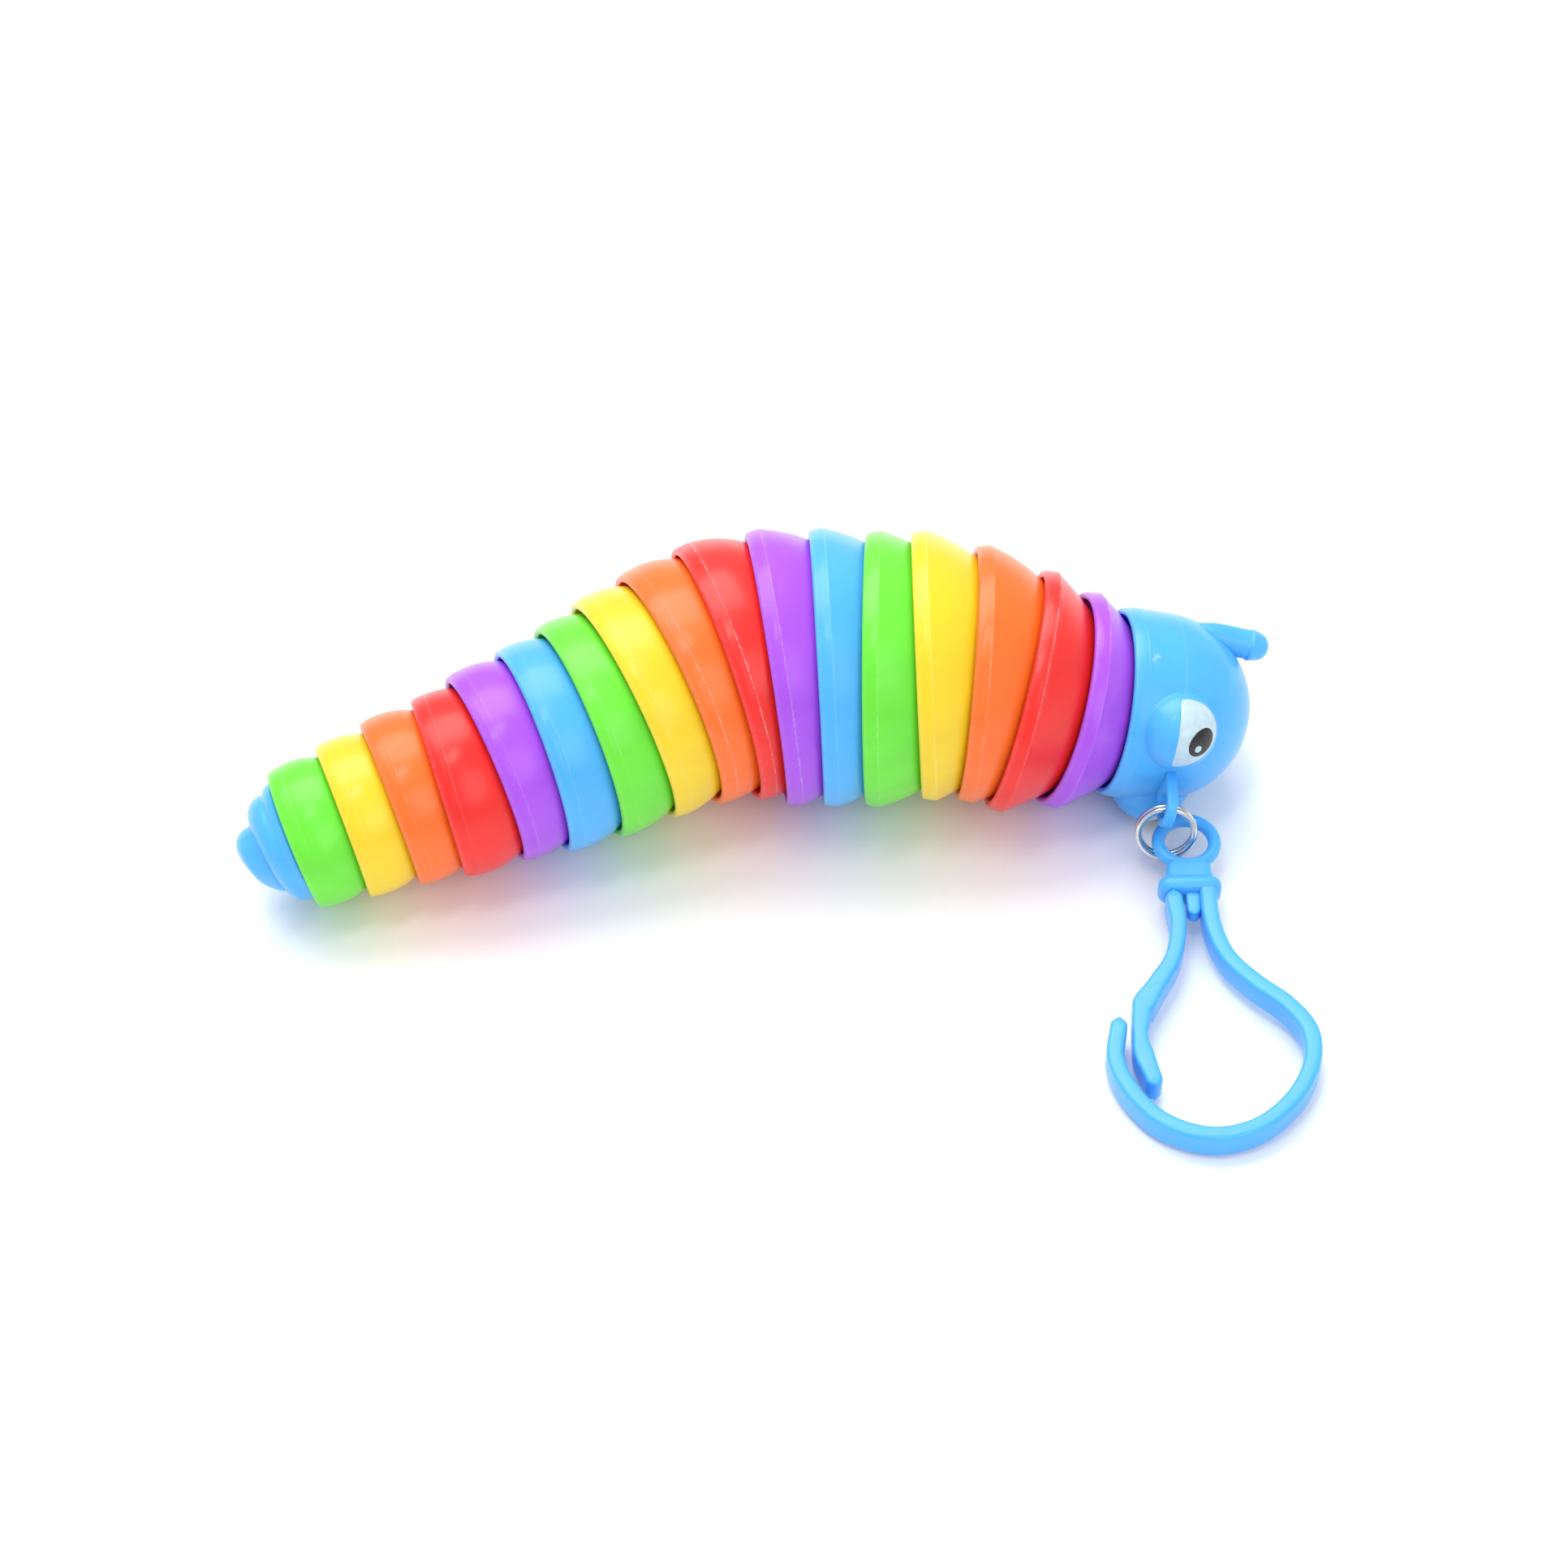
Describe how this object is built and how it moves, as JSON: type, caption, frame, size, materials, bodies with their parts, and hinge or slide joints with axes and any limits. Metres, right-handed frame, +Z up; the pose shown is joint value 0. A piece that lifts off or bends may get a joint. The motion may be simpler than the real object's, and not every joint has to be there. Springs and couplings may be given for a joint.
{
  "type": "articulated slug keychain",
  "caption": "Articulated fidget slug: nested plastic rings on ball joints between a swirl tail and a horned head, with a split ring and snap hook.",
  "frame": {"origin": "middle of the whole object's footprint, on the table it lies on", "axes": "+X from the tail toward the head, +Y away from the hook, +Z up"},
  "size_m": [0.1192, 0.0726, 0.0325],
  "materials": {
    "green": "gloss",
    "yellow": "gloss",
    "orange": "gloss",
    "red": "gloss",
    "purple": "gloss",
    "blue": "gloss",
    "clip_blue": "gloss",
    "nickel": "polished"
  },
  "bodies": {
    "tail_blue": {"tail_blue": "blue"},
    "ring_01_green": {"ring_01_green": "green"},
    "ring_02_yellow": {"ring_02_yellow": "yellow"},
    "ring_03_orange": {"ring_03_orange": "orange"},
    "ring_04_red": {"ring_04_red": "red"},
    "ring_05_purple": {"ring_05_purple": "purple"},
    "ring_06_blue": {"ring_06_blue": "blue"},
    "ring_07_green": {"ring_07_green": "green"},
    "ring_08_yellow": {"ring_08_yellow": "yellow"},
    "ring_09_orange": {"ring_09_orange": "orange"},
    "ring_10_red": {"ring_10_red": "red"},
    "ring_11_purple": {"ring_11_purple": "purple"},
    "ring_12_blue": {"ring_12_blue": "blue"},
    "ring_13_green": {"ring_13_green": "green"},
    "ring_14_yellow": {"ring_14_yellow": "yellow"},
    "ring_15_orange": {"ring_15_orange": "orange"},
    "ring_16_red": {"ring_16_red": "red"},
    "ring_17_purple": {"ring_17_purple": "purple"},
    "head_blue": {"head_blue": "blue"},
    "split_ring": {"split_ring": "nickel"},
    "clip": {"clip": "clip_blue"},
    "clip_gate": {"clip_gate": "clip_blue"}
  },
  "joints": [
    {"name": "bend_00", "type": "hinge", "parent": "ring_01_green", "child": "tail_blue", "pos_m": [-0.05649, 0.00037, 0.00824], "axis": [-0.2232, -0.0683, 0.9724], "range_deg": [-10.59, 12.59]},
    {"name": "bend_01", "type": "hinge", "parent": "ring_02_yellow", "child": "ring_01_green", "pos_m": [-0.05238, 0.00163, 0.00928], "axis": [-0.1475, -0.0522, 0.9877], "range_deg": [-8.47, 13.47]},
    {"name": "bend_02", "type": "hinge", "parent": "ring_03_orange", "child": "ring_02_yellow", "pos_m": [-0.04718, 0.00347, 0.01015], "axis": [-0.1556, -0.0551, 0.9863], "range_deg": [-11.84, 11.84]},
    {"name": "bend_03", "type": "hinge", "parent": "ring_04_red", "child": "ring_03_orange", "pos_m": [-0.04203, 0.00529, 0.01107], "axis": [-0.1421, -0.0407, 0.989], "range_deg": [-15.31, 8.31]},
    {"name": "bend_04", "type": "hinge", "parent": "ring_05_purple", "child": "ring_04_red", "pos_m": [-0.0368, 0.00679, 0.01188], "axis": [-0.1271, -0.0566, 0.9903], "range_deg": [-4.84, 20.84]},
    {"name": "bend_05", "type": "hinge", "parent": "ring_06_blue", "child": "ring_05_purple", "pos_m": [-0.03187, 0.00899, 0.01264], "axis": [-0.0889, -0.0359, 0.9954], "range_deg": [-14.61, 10.61]},
    {"name": "bend_06", "type": "hinge", "parent": "ring_07_green", "child": "ring_06_blue", "pos_m": [-0.02688, 0.011, 0.01316], "axis": [-0.1034, -0.046, 0.9936], "range_deg": [-10.81, 14.81]},
    {"name": "bend_07", "type": "hinge", "parent": "ring_08_yellow", "child": "ring_07_green", "pos_m": [-0.02201, 0.01317, 0.01376], "axis": [-0.1483, -0.0724, 0.9863], "range_deg": [-10.5, 14.5]},
    {"name": "bend_08", "type": "hinge", "parent": "ring_09_orange", "child": "ring_08_yellow", "pos_m": [-0.01729, 0.01547, 0.01464], "axis": [-0.1256, -0.0599, 0.9903], "range_deg": [-13.26, 12.26]},
    {"name": "bend_09", "type": "hinge", "parent": "ring_10_red", "child": "ring_09_orange", "pos_m": [-0.01258, 0.01772, 0.01537], "axis": [-0.1149, -0.0407, 0.9925], "range_deg": [-18.81, 6.81]},
    {"name": "bend_10", "type": "hinge", "parent": "ring_11_purple", "child": "ring_10_red", "pos_m": [-0.00768, 0.01946, 0.01601], "axis": [-0.0777, -0.0109, 0.9969], "range_deg": [-24.11, 1.11]},
    {"name": "bend_11", "type": "hinge", "parent": "ring_12_blue", "child": "ring_11_purple", "pos_m": [-0.00256, 0.02017, 0.01642], "axis": [-0.0349, -0.0015, 0.9994], "range_deg": [-17.76, 6.76]},
    {"name": "bend_12", "type": "hinge", "parent": "ring_13_green", "child": "ring_12_blue", "pos_m": [0.00258, 0.0204, 0.0166], "axis": [-0.0349, 0.0012, 0.9994], "range_deg": [-16.35, 7.35]},
    {"name": "bend_13", "type": "hinge", "parent": "ring_14_yellow", "child": "ring_13_green", "pos_m": [0.00767, 0.02022, 0.01678], "axis": [-0.0523, -0.0005, 0.9986], "range_deg": [-9.31, 14.31]},
    {"name": "bend_14", "type": "hinge", "parent": "ring_15_orange", "child": "ring_14_yellow", "pos_m": [0.01303, 0.02027, 0.01706], "axis": [0.0697, -0.0024, 0.9976], "range_deg": [-10.84, 5.84]},
    {"name": "bend_15", "type": "hinge", "parent": "ring_16_red", "child": "ring_15_orange", "pos_m": [0.01866, 0.02007, 0.01666], "axis": [0.2064, -0.0253, 0.9781], "range_deg": [-13.79, 3.79]},
    {"name": "bend_16", "type": "hinge", "parent": "ring_17_purple", "child": "ring_16_red", "pos_m": [0.02415, 0.0194, 0.01549], "axis": [0.2756, -0.0048, 0.9613], "range_deg": [-4.1, 16.1]},
    {"name": "bend_17", "type": "hinge", "parent": "head_blue", "child": "ring_17_purple", "pos_m": [0.02958, 0.0193, 0.01393], "axis": [0.2077, 0.0091, 0.9781], "range_deg": [-6.6, 13.6]},
    {"name": "ring_swing", "type": "hinge", "parent": "head_blue", "child": "split_ring", "pos_m": [0.04404, 0.00669, 0.00848], "axis": [-1, 0, 0], "range_deg": [-10, 75]},
    {"name": "clip_swing", "type": "hinge", "parent": "split_ring", "child": "clip", "pos_m": [0.04404, 0.00495, 0.00243], "axis": [-1, 0, 0], "range_deg": [-12, 30]},
    {"name": "gate_open", "type": "hinge", "parent": "clip", "child": "clip_gate", "pos_m": [0.04449, -0.00337, 0.00363], "axis": [0, -0.0489, 0.9988], "range_deg": [0, 8], "stiffness_Nm_per_rad": 0.12}
  ]
}
